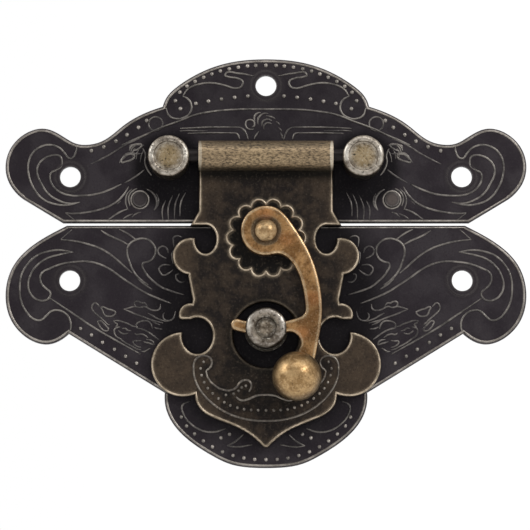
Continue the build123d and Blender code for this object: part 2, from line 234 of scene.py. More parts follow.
def agedMetalWithPaintedLight(name, look):
    material = bpy.data.materials.new(name)
    tree = emptyTree(material)
    output = tree.nodes.new("ShaderNodeOutputMaterial")
    shader = tree.nodes.new("ShaderNodeBsdfPrincipled")
    tree.links.new(shader.outputs[0], output.inputs[0])
    coords = tree.nodes.new("ShaderNodeTexCoord")
    place = coords.outputs["Object"]
    split = tree.nodes.new("ShaderNodeSeparateXYZ")
    tree.links.new(place, split.inputs[0])
    depth = maths(tree, "MULTIPLY", split.outputs[1], -1 / mm)

    stretch = look.get("stretch", (1, 1, 1))
    cloud = noise(tree, place, look["patchSize"], stretch=stretch, **weathering["cloud"])
    grain = noise(tree, place, look["grainSize"], stretch=stretch, **weathering["grain"])
    if "streaks" in look:  # a finer grain, drawn out sideways, from one depth on
        deep, near, sideways = look["streaks"]
        fine = noise(tree, place, look["grainSize"], stretch=sideways, **weathering["grain"])
        change = times(tree, spread(tree, depth, deep, near), maths(tree, "SUBTRACT", fine, grain))
        grain = maths(tree, "ADD", grain, change)
    patches = spread(tree, cloud, *weathering["patches"])
    mottle = spread(tree, grain, *weathering["mottle"])
    colour = tone(tree, patches, look["ground"], look["patch"])
    for zone in look.get("zones", ()):  # a tone of its own between two depths, also used to paint shade on a rim or a wall
        mask = spread(tree, depth, zone["from"], zone["to"])
        pattern = mottle if zone.get("fine") else patches
        colour = tone(tree, mask, colour, tone(tree, pattern, zone["ground"], zone["patch"]))
    openToRubbing = 1.0  # falls under spots of painted shade and others that stop rubbing, and no edge is rubbed there
    # Spots paint shade and highlights as well as tone and wear. One without a colour of its own darkens
    # towards the dark colour of the pits, mostly as painted shade.
    for spot in look.get("spots", ()):
        mask = spotMask(tree, place, depth, cloud, spot)
        colour = tone(tree, mask, colour, spot.get("colour", look["dirtAndShade"]))
        if spot.get("stopsRubbing", "colour" not in spot):
            openToRubbing = times(tree, openToRubbing, maths(tree, "SUBTRACT", 1.0, mask))
    specks = spread(tree, grain, *weathering["specks"], 0.0, look["speckle"])
    colour = tone(tree, specks, colour, look["worn"])
    pits = spread(tree, grain, *weathering["pits"], 0.0, look["pits"])
    colour = tone(tree, pits, colour, look["dirtAndShade"])
    if look["edgeWear"]:
        wornAndLitMarks = times(tree, rubbedEdges(tree, coords.outputs["Normal"], look, cloud, grain), openToRubbing)
        colour = tone(tree, wornAndLitMarks, colour, look["worn"])
    tree.links.new(colour, shader.inputs["Base Color"])

    shader.inputs["Metallic"].default_value = look["metallic"]
    if "matt" in look:  # a duller, less mirror-like finish from one depth on
        deep, near, least = look["matt"]
        tree.links.new(spread(tree, depth, deep, near, look["metallic"], least), shader.inputs["Metallic"])
    smooth, dull = look["roughness"]
    tree.links.new(spread(tree, grain, *weathering["gloss"], dull, smooth), shader.inputs["Roughness"])
    bump = tree.nodes.new("ShaderNodeBump")
    bump.inputs["Strength"].default_value = look["bump"]
    bump.inputs["Distance"].default_value = look["bumpDepth"] * mm
    relief = maths(tree, "ADD", grain, times(tree, cloud, weathering["cloudBump"]))
    tree.links.new(relief, bump.inputs["Height"])
    tree.links.new(bump.outputs[0], shader.inputs["Normal"])
    return material


# Finishes: one aged metal with a different look for each piece, some with painted shade and painted
# highlights
plateLook = {
    "ground": (0.024, 0.019, 0.023), "patch": (0.038, 0.032, 0.036), "worn": (0.24, 0.22, 0.20),
    "dirtAndShade": (0.004, 0.003, 0.004), "patchSize": 5.0, "grainSize": 0.35, "speckle": 0.05, "pits": 0.3,
    "edgeWear": 0.9, "edgeReach": 0.5, "turned": (0.05, 0.45), "metallic": 0.85,
    "roughness": (0.36, 0.50), "bump": 0.3, "bumpDepth": 0.05,
    "spots": (
        # painted shade: on the lower plate under the strap, and on the upper plate under the barrel
        {"centre": (0, -13), "size": (19, 22), "amount": 0.92},
        {"centre": (-1, 6.0), "size": (18.5, 7), "amount": 0.9},
        # darker over the middle of the upper plate
        {"centre": (-2, 18), "size": (27, 9), "fade": (1.1, 0.5), "amount": 0.22, "stopsRubbing": False},
        # painted shadows below the hinge posts and round the catch post
        {"centre": (leftPost[0], leftPost[1] - 1.5), "size": (6, 6), "amount": 0.92},
        {"centre": (rightPost[0], rightPost[1] - 1.5), "size": (6, 6), "amount": 0.92},
        {"centre": catchPost, "size": (6, 6), "amount": 0.9},
        # the pips paler where rubbed, and the right one also with a painted highlight
        {"centre": (-smallSizes["pip"][0], smallSizes["pip"][1]), "size": (1.0, 1.0), "fade": (1.2, 0.6),
         "amount": 0.2, "colour": (0.15, 0.13, 0.12)},
        {"centre": smallSizes["pip"], "size": (1.0, 1.0), "fade": (1.2, 0.6),
         "amount": 0.45, "colour": (0.17, 0.14, 0.12)},
        *[{"centre": hole, "size": (2.9, 2.9), "fade": (1.1, 1.0), "amount": 0.75, "stopsRubbing": True,
           "colour": (0.028, 0.023, 0.026)} for hole in screwHoles],
    ),
}
plateLineLook = dict(
    plateLook, ground=(0.080, 0.073, 0.068), patch=(0.195, 0.178, 0.160), worn=(0.30, 0.275, 0.25),
    patchSize=2.2, speckle=0.4, pits=0.3, edgeWear=0.0,
    # painted shade on the lines under the strap
    spots=({"centre": (0, -13), "size": (19, 22), "amount": 0.45},),
)
plateFaintLook = dict(plateLineLook, ground=(0.055, 0.050, 0.048), patch=(0.15, 0.136, 0.124), spots=())
plateRimLook = dict(
    plateLineLook, ground=(0.17, 0.152, 0.135), patch=(0.32, 0.29, 0.26), worn=(0.42, 0.38, 0.34), spots=(),
)
plateBeadLook = dict(
    plateLineLook, ground=(0.15, 0.137, 0.122), patch=(0.32, 0.29, 0.26), speckle=0.2, pits=0.25, spots=(),
)
strapLook = {
    "ground": (0.013, 0.010, 0.009), "patch": (0.037, 0.0265, 0.019), "worn": (0.44, 0.35, 0.245),
    "dirtAndShade": (0.006, 0.005, 0.004), "patchSize": 1.6, "grainSize": 0.42, "speckle": 0.08, "pits": 0.6,
    "edgeWear": 0.75, "edgeReach": 0.9, "metallic": 0.85, "roughness": (0.36, 0.52),
    "bump": 0.45, "bumpDepth": 0.06, "matt": (2.65, 3.3, 0.5), "streaks": (2.6, 3.0, (1.2, 0.8, 0.5)),
    "zones": (  # the sunk rosette is darker, and the barrel golden
        {"from": 2.42, "to": 2.28, "ground": (0.004, 0.003, 0.003), "patch": (0.009, 0.007, 0.006)},
        {"from": 2.65, "to": 3.30, "ground": (0.108, 0.074, 0.039), "patch": (0.37, 0.268, 0.15),
         "fine": True},
    ),
    "spots": (
        {"centre": (0, -12), "size": (13.5, 26), "fade": (0.75, 1.05), "amount": 0.28,
         "colour": (0.115, 0.080, 0.052)},
        # darker in the lower middle of the strap
        {"centre": (0, -24.5), "size": (7.5, 5), "amount": 0.45},
        # painted shade round the hole for the catch post and round the eye of the hook
        {"centre": (0, -16.9), "size": (6.2, 6.2), "fade": (1.15, 0.9), "amount": 0.55},
        {"centre": (0, -1.6), "size": (6.7, 6.7), "fade": (1.1, 0.9), "amount": 0.35},
        # painted shadow below the barrel
        {"centre": (0, barrelZ - 2.0), "size": (24, 2.7), "fade": (1.0, 0.2), "amount": 0.9, "behind": 2.6},
        {"centre": (0, barrelZ - 2.6), "size": (24, 1.0), "fade": (1.05, 0.4), "amount": 0.75},
        # painted shade along the top of the barrel
        {"centre": (0, barrelZ + 1.8), "size": (12.5, 0.9), "fade": (1.3, 0.5), "amount": 0.45},
        # a painted highlight on the tip of the strap
        {"centre": (0, -35.4), "size": (2.2, 1.1), "fade": (1.2, 0.4), "amount": 0.4,
         "colour": (0.33, 0.26, 0.18)},
        # the ends of the barrel paler, rubbed and with painted highlights, the right one brighter
        {"centre": (-smallSizes["barrelEnd"], barrelZ), "size": (0.3, 2.4), "amount": 0.45,
         "colour": (0.50, 0.45, 0.36)},
        {"centre": (smallSizes["barrelEnd"], barrelZ), "size": (0.3, 2.4), "amount": 0.75,
         "colour": (0.62, 0.56, 0.45)},
    ),
}
strapLineLook = dict(
    strapLook, ground=(0.23, 0.185, 0.132), patch=(0.50, 0.41, 0.305), worn=(0.60, 0.50, 0.38),
    patchSize=2.2, speckle=0.35, pits=0.35, edgeWear=0.0, zones=(), spots=(),
)
strapFaintLook = dict(strapLineLook, ground=(0.085, 0.074, 0.064), patch=(0.20, 0.178, 0.152))
strapBeadLook = dict(strapLineLook, ground=(0.11, 0.098, 0.085), patch=(0.24, 0.215, 0.185), pits=0.2)
copperyPlaces = ((3.3, -2.0), (-0.2, 2.1), (5.6, -16.8), (7.2, -11.3))
hookLook = {
    "ground": (0.185, 0.092, 0.033), "patch": (0.44, 0.245, 0.100), "worn": (0.80, 0.68, 0.46),
    "dirtAndShade": (0.03, 0.014, 0.006), "patchSize": 1.8, "grainSize": 0.32, "speckle": 0.18, "pits": 0.6,
    "edgeWear": 0.95, "edgeReach": 0.7, "metallic": 0.92, "roughness": (0.30, 0.46),
    "bump": 0.45, "bumpDepth": 0.05,
    "spots": (
        # painted shade on the hook round the rivet head, darkest close round its foot
        {"centre": hookPivot, "size": (3.4, 3.4), "fade": (1.0, 0.6), "amount": 0.5,
         "colour": (0.060, 0.030, 0.012), "stopsRubbing": True},
        {"centre": hookPivot, "size": (2.25, 2.25), "fade": (1.12, 1.0), "amount": 0.8},
        {"centre": (7.2, -14), "size": (3.6, 6.5), "fade": (1.1, 0.3), "amount": 0.6,
         "colour": (0.13, 0.062, 0.023)},
        *[{"centre": place, "size": (1.8, 1.5), "fade": (1.1, 0.2), "amount": 0.45, "patchy": True,
           "colour": (0.42, 0.155, 0.050)} for place in copperyPlaces],
    ),
}
rivetLook = dict(
    hookLook, ground=(0.27, 0.165, 0.072), patch=(0.48, 0.33, 0.17), edgeWear=0.0, metallic=0.7,
    roughness=(0.30, 0.42), spots=(),
)
ballLook = dict(
    hookLook, ground=(0.24, 0.14, 0.054), patch=(0.46, 0.300, 0.140), worn=(0.66, 0.50, 0.29),
    patchSize=1.6, speckle=0.35, pits=0.5, edgeWear=0.0, metallic=0.72, roughness=(0.33, 0.40),
    bump=0.25, spots=(),
    # painted shade on the ball's rim, darker towards its back
    zones=({"from": 11.0, "to": 8.4, "ground": (0.075, 0.046, 0.020), "patch": (0.17, 0.115, 0.058)},),
)
postLook = {
    "ground": (0.105, 0.080, 0.056), "patch": (0.29, 0.24, 0.18), "worn": (0.70, 0.66, 0.58),
    "dirtAndShade": (0.020, 0.015, 0.010), "patchSize": 1.3, "grainSize": 0.42, "speckle": 0.38, "pits": 1.0,
    "edgeWear": 0.3, "edgeReach": 1.0, "metallic": 0.88, "roughness": (0.30, 0.48),
    "bump": 0.8, "bumpDepth": 0.09,
}
# the pin is dark metal, painted near black for the shade it lies in between the barrel and the posts
pinLook = dict(
    plateLook, ground=(0.010, 0.008, 0.008), patch=(0.022, 0.018, 0.017), worn=(0.12, 0.10, 0.08),
    edgeWear=0.0, stretch=(4, 1, 1), spots=(),
)


# Wear and painted light on a round head: a pale ring inside its rim, partly rubbed and partly a painted
# highlight, painted highlights on both sides, and painted shade on the wall below it.
# Places and sizes at the sides are parts of the radius, and the wall's are depths below the face.
headWearAndLight = {
    "ringAmount": 0.38, "sideAmount": 0.72, "sideColour": (0.85, 0.80, 0.71),
    "sideAway": 0.80, "sideUp": 0.20, "sideSize": (0.18, 0.55),
    "wallStart": 0.5, "wallEnd": 0.9, "wallGround": (0.035, 0.027, 0.018), "wallPatch": (0.08, 0.065, 0.045),
}
hingeHead = {"radius": 3.25, "pale": (0.50, 0.46, 0.41)}
catchHead = {"radius": 3.2, "pale": (0.40, 0.365, 0.345)}


def postMetal(name, centre, face, head, *more):
    radius = head["radius"]
    # a pale ring inside the rim: rubbed, and partly a painted highlight
    ring = {"centre": centre, "size": (radius, radius), "fade": (1.0, 0.9), "hollow": (0.55, 0.85),
            "amount": headWearAndLight["ringAmount"], "colour": head["pale"], "patchy": True}
    wide, high = headWearAndLight["sideSize"]
    aside, above = headWearAndLight["sideAway"] * radius, headWearAndLight["sideUp"] * radius
    # painted highlights on both sides of the rim
    wornAndLitMarks = [
        {"centre": (centre[0] + side * aside, centre[1] + above), "size": (wide * radius, high * radius),
         "fade": (1.1, 0.2), "amount": headWearAndLight["sideAmount"], "colour": headWearAndLight["sideColour"],
         "patchy": True}
        for side in (-1, 1)
    ]
    # painted shade on the wall below the head
    wall = {"from": face - headWearAndLight["wallStart"], "to": face - headWearAndLight["wallEnd"],
            "ground": headWearAndLight["wallGround"], "patch": headWearAndLight["wallPatch"]}
    return agedMetalWithPaintedLight(name, dict(postLook, zones=(wall,), spots=(ring, *more, *wornAndLitMarks)))


def hingePostMetal(name, centre):
    goldenMiddle = {"centre": centre, "size": (2.6, 2.6), "fade": (0.95, 0.3), "amount": 0.6,
                    "colour": (0.36, 0.262, 0.13)}
    return postMetal(name, centre, frontOf("right_hinge_post"), hingeHead, goldenMiddle)


def catchPostMetal(name):
    # a darker ring round the middle of the head
    darkRing = {"centre": catchPost, "size": (2.1, 2.1), "fade": (1.0, 0.8), "hollow": (0.35, 0.6),
                "amount": 0.66}
    # painted shade round the edge of the head and on its wall
    darkBorder = {"centre": catchPost, "size": (3.2, 3.2), "fade": (0.80, 0.98), "amount": 0.85}
    return postMetal(name, catchPost, frontOf("catch_post"), catchHead, darkRing, darkBorder)


plateMetal = agedMetalWithPaintedLight("rubbedPlate", plateLook)
finishes = {
    "upper_plate": plateMetal,
    "lower_plate": plateMetal,
    "hasp_strap": agedMetalWithPaintedLight("brownStrap", strapLook),
    "left_hinge_post": hingePostMetal("wornAndLitLeftPost", leftPost),
    "right_hinge_post": hingePostMetal("wornAndLitRightPost", rightPost),
    "catch_post": catchPostMetal("wornAndLitCatchPost"),
    "hook_arm": agedMetalWithPaintedLight("copperyHook", hookLook),
    "hook_rivet": agedMetalWithPaintedLight("goldenRivet", rivetLook),
    "ball_knob": agedMetalWithPaintedLight("goldenBallShadedRim", ballLook),
    "hinge_pin": agedMetalWithPaintedLight("darkPin", pinLook),
}
for name, node in nodes.items():
    node.data.materials.clear()
    node.data.materials.append(finishes[name])
plateLineMetal = agedMetalWithPaintedLight("rubbedPlateLines", plateLineLook)
plateFaintMetal = agedMetalWithPaintedLight("faintPlateLines", plateFaintLook)
plateRimMetal = agedMetalWithPaintedLight("rubbedPlateRim", plateRimLook)
plateBeadMetal = agedMetalWithPaintedLight("rubbedPlateBeads", plateBeadLook)
strapLineMetal = agedMetalWithPaintedLight("rubbedStrapLines", strapLineLook)
strapFaintMetal = agedMetalWithPaintedLight("faintStrapLines", strapFaintLook)
strapBeadMetal = agedMetalWithPaintedLight("rubbedStrapBeads", strapBeadLook)
print("finishes given to the solids")


# Ornament: chased lines, beads and rims that ride on the plates and the strap
onPlate = ("plates", "plate_bronze")
onStrap = ("hasp", "strap_bronze")
ornamentMesh = {"lineSteps": 5, "lineRound": 2, "beadAround": 10, "beadRings": 6}
weldDistance = 0.001
rimSearch = {"weld": 0.002, "flat": 0.01}  # how close rim points are welded and lie to the face


def addPiece(name, mesh, metal, body):
    bm = bmesh.new()
    bm.from_mesh(mesh)
    bmesh.ops.remove_doubles(bm, verts=bm.verts, dist=weldDistance * mm)
    bmesh.ops.recalc_face_normals(bm, faces=bm.faces)
    bm.to_mesh(mesh)
    bm.free()
    mesh.materials.clear()
    mesh.materials.append(metal)
    mesh.shade_smooth()
    piece = bpy.data.objects.new(name, mesh)
    bpy.context.scene.collection.objects.link(piece)
    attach(piece, body)
    print(name, "has", len(mesh.polygons), "faces")


def flatten(shape):
    # a round section or a ball becomes as flat as "rise" says
    return Matrix.Diagonal((1, shape["rise"] / (shape["width"] / 2), 1, 1))


def curveToMesh(curve, shape):
    curve.bevel_depth = shape["width"] / 2 * mm
    curve.bevel_resolution = ornamentMesh["lineRound"]
    holder = bpy.data.objects.new("holder", curve)
    bpy.context.scene.collection.objects.link(holder)
    shown = holder.evaluated_get(bpy.context.evaluated_depsgraph_get())
    mesh = bpy.data.meshes.new_from_object(shown)
    bpy.data.objects.remove(holder)
    mesh.transform(Matrix.Translation((0, -shape["depth"] * mm, 0)) @ flatten(shape))
    return mesh


def addSpline(curve, points, endRadius):
    closed = points[0] == points[-1]
    if closed:
        points = points[:-1]
    spline = curve.splines.new("BEZIER")
    spline.use_cyclic_u = closed
    spline.bezier_points.add(len(points) - 1)
    for knot, (x, z) in zip(spline.bezier_points, points):
        knot.co = (x * mm, 0, z * mm)
        knot.handle_left_type = knot.handle_right_type = "AUTO"
    if not closed:
        spline.bezier_points[0].radius = spline.bezier_points[-1].radius = endRadius


def chasedLines(name, lines, shape, metal, body, slotName, mirrored=True):
    curve = bpy.data.curves.new("path", "CURVE")
    curve.dimensions = "3D"
    curve.resolution_u = ornamentMesh["lineSteps"]
    curve.use_fill_caps = True
    for line in lines.values():
        other = [(-x, z) for x, z in line]
        if mirrored and line[-1][0] == 0:  # runs across the middle
            addSpline(curve, line[:-1] + other[::-1], shape["taper"])
            continue
        addSpline(curve, line, shape["taper"])
        if mirrored:
            addSpline(curve, other, shape["taper"])
    addPiece(name, curveToMesh(curve, shape), metal, body)


def beadRow(name, rows, shape, metal, body, slotName):
    bm = bmesh.new()
    for x, z in [point for row in rows.values() for point in row]:
        for side in ((1,) if x == 0 else (-1, 1)):
            spot = Matrix.Translation((side * x * mm, -shape["depth"] * mm, z * mm))
            bmesh.ops.create_uvsphere(
                bm, u_segments=ornamentMesh["beadAround"], v_segments=ornamentMesh["beadRings"],
                radius=shape["width"] / 2 * mm, matrix=spot @ flatten(shape),
            )
    mesh = bpy.data.meshes.new(name)
    bm.to_mesh(mesh)
    bm.free()
    addPiece(name, mesh, metal, body)


def faceBorders(node, shape):
    # the edges round a solid's flat front at one depth, apart from those inside some circles
    bm = bmesh.new()
    bm.from_mesh(nodes[node].data)
    bmesh.ops.remove_doubles(bm, verts=bm.verts, dist=rimSearch["weld"] * mm)
    level = -shape["depth"] * mm
    away = [f for f in bm.faces if any(abs(v.co.y - level) > rimSearch["flat"] * mm for v in f.verts)]
    bmesh.ops.delete(bm, geom=away, context="FACES")
    inner = [e for e in bm.edges if len(e.link_faces) != 1]
    bmesh.ops.delete(bm, geom=inner, context="EDGES")
    for x, z, radius in shape["without"]:
        inside = [v for v in bm.verts if math.hypot(v.co.x - x * mm, v.co.z - z * mm) < radius * mm]
        bmesh.ops.delete(bm, geom=inside, context="VERTS")
    bmesh.ops.translate(bm, verts=bm.verts, vec=(0, -level, 0))
    mesh = bpy.data.meshes.new("rimEdges")
    bm.to_mesh(mesh)
    bm.free()
    return mesh


def rimLine(name, node, shape, metal, body, slotName):
    # the borders of a solid's flat front, rounded over as a thin raised line
    holder = bpy.data.objects.new("rimHolder", faceBorders(node, shape))
    bpy.context.scene.collection.objects.link(holder)
    bpy.ops.object.select_all(action="DESELECT")
    bpy.context.view_layer.objects.active = holder
    holder.select_set(True)
    bpy.ops.object.convert(target="CURVE")
    curve = holder.data.copy()
    bpy.data.objects.remove(holder)
    addPiece(name, curveToMesh(curve, shape), metal, body)


def ring(x, y, radius, count=10):
    turns = [2 * math.pi * k / count for k in range(count + 1)]
    return [(x + radius * math.cos(turn), y + radius * math.sin(turn)) for turn in turns]


# In the photo each plate and the strap is shifted a little from the model, in pixels to the right and
# up, and turned, in degrees anticlockwise. A point within middleSnap of the middle line goes on it.
inPhoto = {
    "upper_plate": {"depth": plateFace, "shift": (-0.07, -0.07), "turn": 0.561},
    "lower_plate": {"depth": plateFace, "shift": (1.26, 0.09), "turn": -0.27},
    "hasp_strap": {"depth": strapFace, "shift": (0.5, -0.63), "turn": 0.0},
}
middleSnap = 0.4
pixelMiddle = Vector((0.5, -0.5))


def placeOf(x, y, part):
    # where the camera's ray through a pixel meets the flat face of a part, as (x, z) in mm
    middle = view["pixels"] / 2
    scale = view["width"] / view["pixels"]
    seen = Vector((x - middle, middle - y)) - Vector(part["shift"])
    seen = Matrix.Rotation(-math.radians(part["turn"]), 2) @ seen + pixelMiddle
    eye = Vector(view["aim"]) + viewBack * view["distance"]
    ray = (viewRight * seen.x + viewUp * seen.y) * scale - viewBack * view["distance"]
    hit = eye + ray * (-part["depth"] - eye.y) / ray.y
    return hit.x, hit.z


def places(picked, node, mirrored=True):
    # listed lines or rows as places in mm, which lie on the right half if they are to be mirrored
    placed = {}
    for name, pixels in picked.items():
        line = [placeOf(x, y, inPhoto[node]) for x, y in pixels]
        if mirrored:
            line = [(0 if abs(x) < middleSnap else abs(x), z) for x, z in line]
        placed[name] = line
    return placed


lineShape = {"depth": plateFace, "width": 0.34, "rise": 0.14, "taper": 0.5}
faintShape = {"depth": plateFace, "width": 0.28, "rise": 0.10, "taper": 0.4}
crestShape = dict(faintShape, width=0.3, rise=0.12)
rimShape = {"depth": plateFace, "width": 0.34, "rise": 0.12,
            "without": [(*hole, 2.6) for hole in screwHoles]}
beadShape = {"depth": plateFace, "width": 0.68, "rise": 0.24}
smallBeadShape = dict(beadShape, width=0.62)
strapLineShape = {"depth": strapFace, "width": 0.36, "rise": 0.16, "taper": 0.7}
strapBeadShape = {"depth": strapFace, "width": 0.48, "rise": 0.18}
# the strap has no rim round its hole for the catch post, nor in a wide circle that takes in the barrel
strapRimShape = {"depth": strapFace, "width": 0.32, "rise": 0.12,
                 "without": ((0, -16.9, 5.6), (0, 60, 51.4))}

# Every line and every row of beads is given on the half where the photo shows it best, as
# (x, y) in the photo's pixels. It is drawn on both halves, apart from the crest.
upperLines = {
    "lobeOuter": [(75, 148), (74.5, 153), (70.5, 159.5), (67, 159.5), (63, 154.5), (58, 149.5),
                  (49, 146.5), (39, 148.5), (31, 155), (27, 165), (27.5, 177), (32.5, 190), (41.5, 200.5),
                  (53, 205.5), (66, 206.5), (79, 203.5)],
    "lobeCurl": [(78.3, 203.7), (68.3, 205), (56.7, 201.7), (46.7, 195), (40, 185), (35.8, 175),
                 (36.7, 167.5), (41.7, 161), (48.3, 157.5), (55, 156.7), (59, 158.3), (60.5, 163.3),
                 (60, 168.3), (55, 171.7), (50, 174.2), (48.7, 180), (51.7, 187.5), (58.3, 193.3),
                 (68.3, 196.7), (80, 197), (95, 195.3), (108.3, 190.8), (120, 185)],
    "heel": [(73.3, 221.3), (64.5, 214.4)],
    "sweep": [(64.5, 214.4), (71.7, 215), (85, 213.7), (98.3, 210.8), (111.7, 205.3), (121.7, 196.7),
              (127.5, 187.5)],
    "diagonal": [(107.5, 220.8), (118.3, 213.3), (126.7, 209.7)],
    "arch": [(120, 146), (130, 141.5), (145, 135), (155, 130), (177.5, 121.3), (192.5, 115.3),
             (212.5, 111.3), (235, 109.3), (265.4, 108.8)],
    "leafA": [(120, 163), (123, 157.5), (128, 155), (133, 157), (130, 160.5), (124, 162.5), (120, 163)],
    "leafB": [(127.5, 151.5), (130, 147), (135, 145), (140, 146), (137, 149.5), (132, 151.5)],
    "stem": [(141, 149), (144, 156), (143.5, 163), (146, 170), (150, 176)],
    "pipOuter": [(129, 207), (127.5, 199), (130.8, 192.5), (135.8, 189.2)],
    "pipInner": [(146, 190), (151.5, 193.5), (155, 199.5), (155.5, 205), (153, 211)],
    "crownScroll": [(275.5, 75.5), (290, 72.8), (304.5, 74), (301, 76), (292.5, 77.5), (286.8, 81),
                    (288.5, 86), (294, 87.5), (305, 84.5), (317.5, 82), (330, 83), (341.3, 87.5),
                    (347, 95)],
    "crownCurl": [(347, 95), (342, 97.5), (338.3, 103.8), (339.5, 111.3), (345, 115.8), (353.8, 117.5),
                  (361, 114), (364, 106)],
    "bracketOuter": [(281.5, 140), (286, 129.5), (290.5, 126.5)],
    "bracketTop": [(290.5, 126.5), (320, 126.3), (350, 127.2)],
    "bracketInner": [(290.5, 139), (293, 133.2), (296, 132.2)],
    "bracketLow": [(296, 132.2), (320, 132), (342, 132.2)],
}
upperLeaves = {
    "featherA": [(345, 191), (350, 202), (351, 215)],
    "featherB": [(351, 192), (355.5, 203), (356.5, 218)],
    "featherC": [(358, 194), (362.5, 206), (362.5, 219.5)],
    "featherD": [(365, 199), (368.5, 208), (368, 220)],
    "smallRing": ring(374.3, 122.4, 7),
    "borderIn": [(89, 165.5), (100, 160), (110, 154.5), (119, 148.5), (127, 144), (138, 139.5)],
    "leafC": [(121, 161), (125, 156.5), (129, 153.5), (130.5, 149.5), (134, 146), (138, 144)],
    "hatchA": [(133.5, 149), (131.5, 153), (131, 158)],
    "hatchB": [(138, 149), (135.5, 154), (134.5, 160)],
    "hatchC": [(142.5, 150), (140, 156), (138.5, 163)],
    "pipArc": [(127, 211), (124.5, 203), (126, 195), (131, 189.5)],
    "wingTop": [(178, 131.5), (186, 131), (196, 131.2), (206, 131)],
    "swayA": [(155, 194), (157.2, 200), (156.5, 206), (153.5, 210.5)],
    "footA": [(131, 218), (135, 214.5), (140, 212.8)],
    "crescent": [(389, 152), (395, 152), (400, 151), (404, 152), (407, 155), (409, 158), (411, 161)],
    "crescentTop": [(386, 144), (391, 143), (396, 143), (400, 144), (400.5, 149)],
    "curlTail": [(406, 181), (402, 179), (397, 176), (391, 172), (386, 168)],
    "dash": [(410, 199), (414, 202.5)],
    "footB": [(398, 212), (403, 214), (408, 217)],
}
crestLines = {  # a small crest over the barrel, drawn as it is on both halves
    "curl": [(252, 128.5), (249.5, 129.3), (246, 128.5), (244, 126), (243.7, 123), (245, 120.5),
             (248, 119.5), (251, 120.5), (252.5, 123), (252, 126), (250, 126.8)],
    "petalA": [(253, 121), (252.3, 118), (253, 115), (256, 112.5), (259, 112.3)],
    "petalB": [(256, 124), (256, 119), (258.5, 115), (262, 113), (266, 113)],
    "petalC": [(260, 126), (260.5, 121.5), (263.5, 119.3), (267, 119), (270, 120.5)],
    "petalD": [(262, 129), (262, 125.5), (264, 123), (267, 122.5), (270, 123.5)],
    "brow": [(264, 115.5), (268, 116), (271, 117), (273.5, 118.5)],
    "sideA": [(274, 121), (276, 122.5), (278, 124.5)],
    "sideB": [(276.5, 127), (278.5, 129), (280, 131)],
    "sideC": [(278.5, 132), (280, 135), (280.5, 138.5)],
    "stalk": [(257, 131), (254.5, 134.5), (252.3, 139)],
}
upperBeads = {
    "crownEdge": [(265.4, 64.9), (273.6, 65), (281.8, 65.5), (291, 66.6), (300.2, 68.2), (309.1, 70.2),
                  (317.5, 73), (325.8, 76.3), (334.5, 80.4), (342.5, 85), (349.8, 91)],
    "crownRow": [(281.8, 95.5), (295, 96.8), (308.3, 98.3), (321.3, 100.3), (333.8, 102.5)],
    "crownCurl": [(354.3, 99.5), (349.3, 107.5)],
    "earEdge": [(89.7, 152), (102.2, 148), (114.2, 142.2), (125.3, 135.8), (136.7, 128.3),
                (144.7, 121.3)],
}
chasedLines("upper_scrollwork", places(upperLines, "upper_plate"), lineShape, plateLineMetal, *onPlate)
chasedLines("upper_leaves", places(upperLeaves, "upper_plate"), faintShape, plateFaintMetal, *onPlate)
chasedLines(
    "upper_crest", places(crestLines, "upper_plate", mirrored=False), crestShape, plateLineMetal, *onPlate,
    mirrored=False,
)
beadRow("upper_beads", places(upperBeads, "upper_plate"), beadShape, plateBeadMetal, *onPlate)
rimLine("upper_rim", "upper_plate", rimShape, plateRimMetal, *onPlate)

lowerLines = {
    "outerScroll": [(74, 250.5), (60, 248.5), (48, 250), (37.5, 254), (28, 263), (22, 274), (20.5, 288),
                    (22, 300), (27, 310), (34, 317), (41, 318.5), (47, 314), (52, 309.5), (58, 308.5),
                    (65, 311), (70, 317), (71.5, 325), (69.5, 331.5)],
    "innerScroll": [(74, 250.5), (58, 253.5), (47, 257), (37.5, 264), (31, 274), (29, 285), (32, 293),
                    (38, 298), (44, 299), (50, 296), (51, 291), (47, 287), (43, 283), (41, 277),
                    (43, 271), (50, 267), (62, 262.5), (75, 260.5), (88, 260), (98, 262), (110, 267.5),
                    (122, 276), (133, 283.5), (145, 291), (158, 297), (172, 302.5)],
    "straight": [(50, 296), (72, 311), (95, 326.5), (118, 340), (141, 353)],
    "heel": [(73, 228), (61.5, 238)],
    "sweep": [(61.5, 238), (75, 239.5), (90, 243), (103, 248), (115, 256), (125, 265), (133, 272)],
    "feedA": [(102, 229), (108, 233), (115, 236.5), (122, 239.5), (129, 243.5)],
    "feedB": [(120, 228), (128, 232), (137, 238.5)],
    "loop": [(149, 284), (140, 277), (134, 269.5), (130.5, 261), (128, 251), (130, 243.5), (137, 238.5),
             (146, 237.5), (153, 241.5), (156.5, 249), (154, 257), (149, 260.5), (143.5, 262.5),
             (146, 271), (153, 279), (162, 286), (172, 290), (185, 294)],
    "loopShort": [(138.5, 277.5), (145.5, 283.5), (153, 288.5)],
    "crescent": [(191, 399.5), (182.5, 404.5), (184, 414), (191, 423), (203, 430), (215, 431),
                 (226, 427.5)],
    "spikeTop": [(244, 433), (235, 441), (227, 445)],
    "spikeLow": [(227, 445), (236, 446.2), (252, 444)],
}
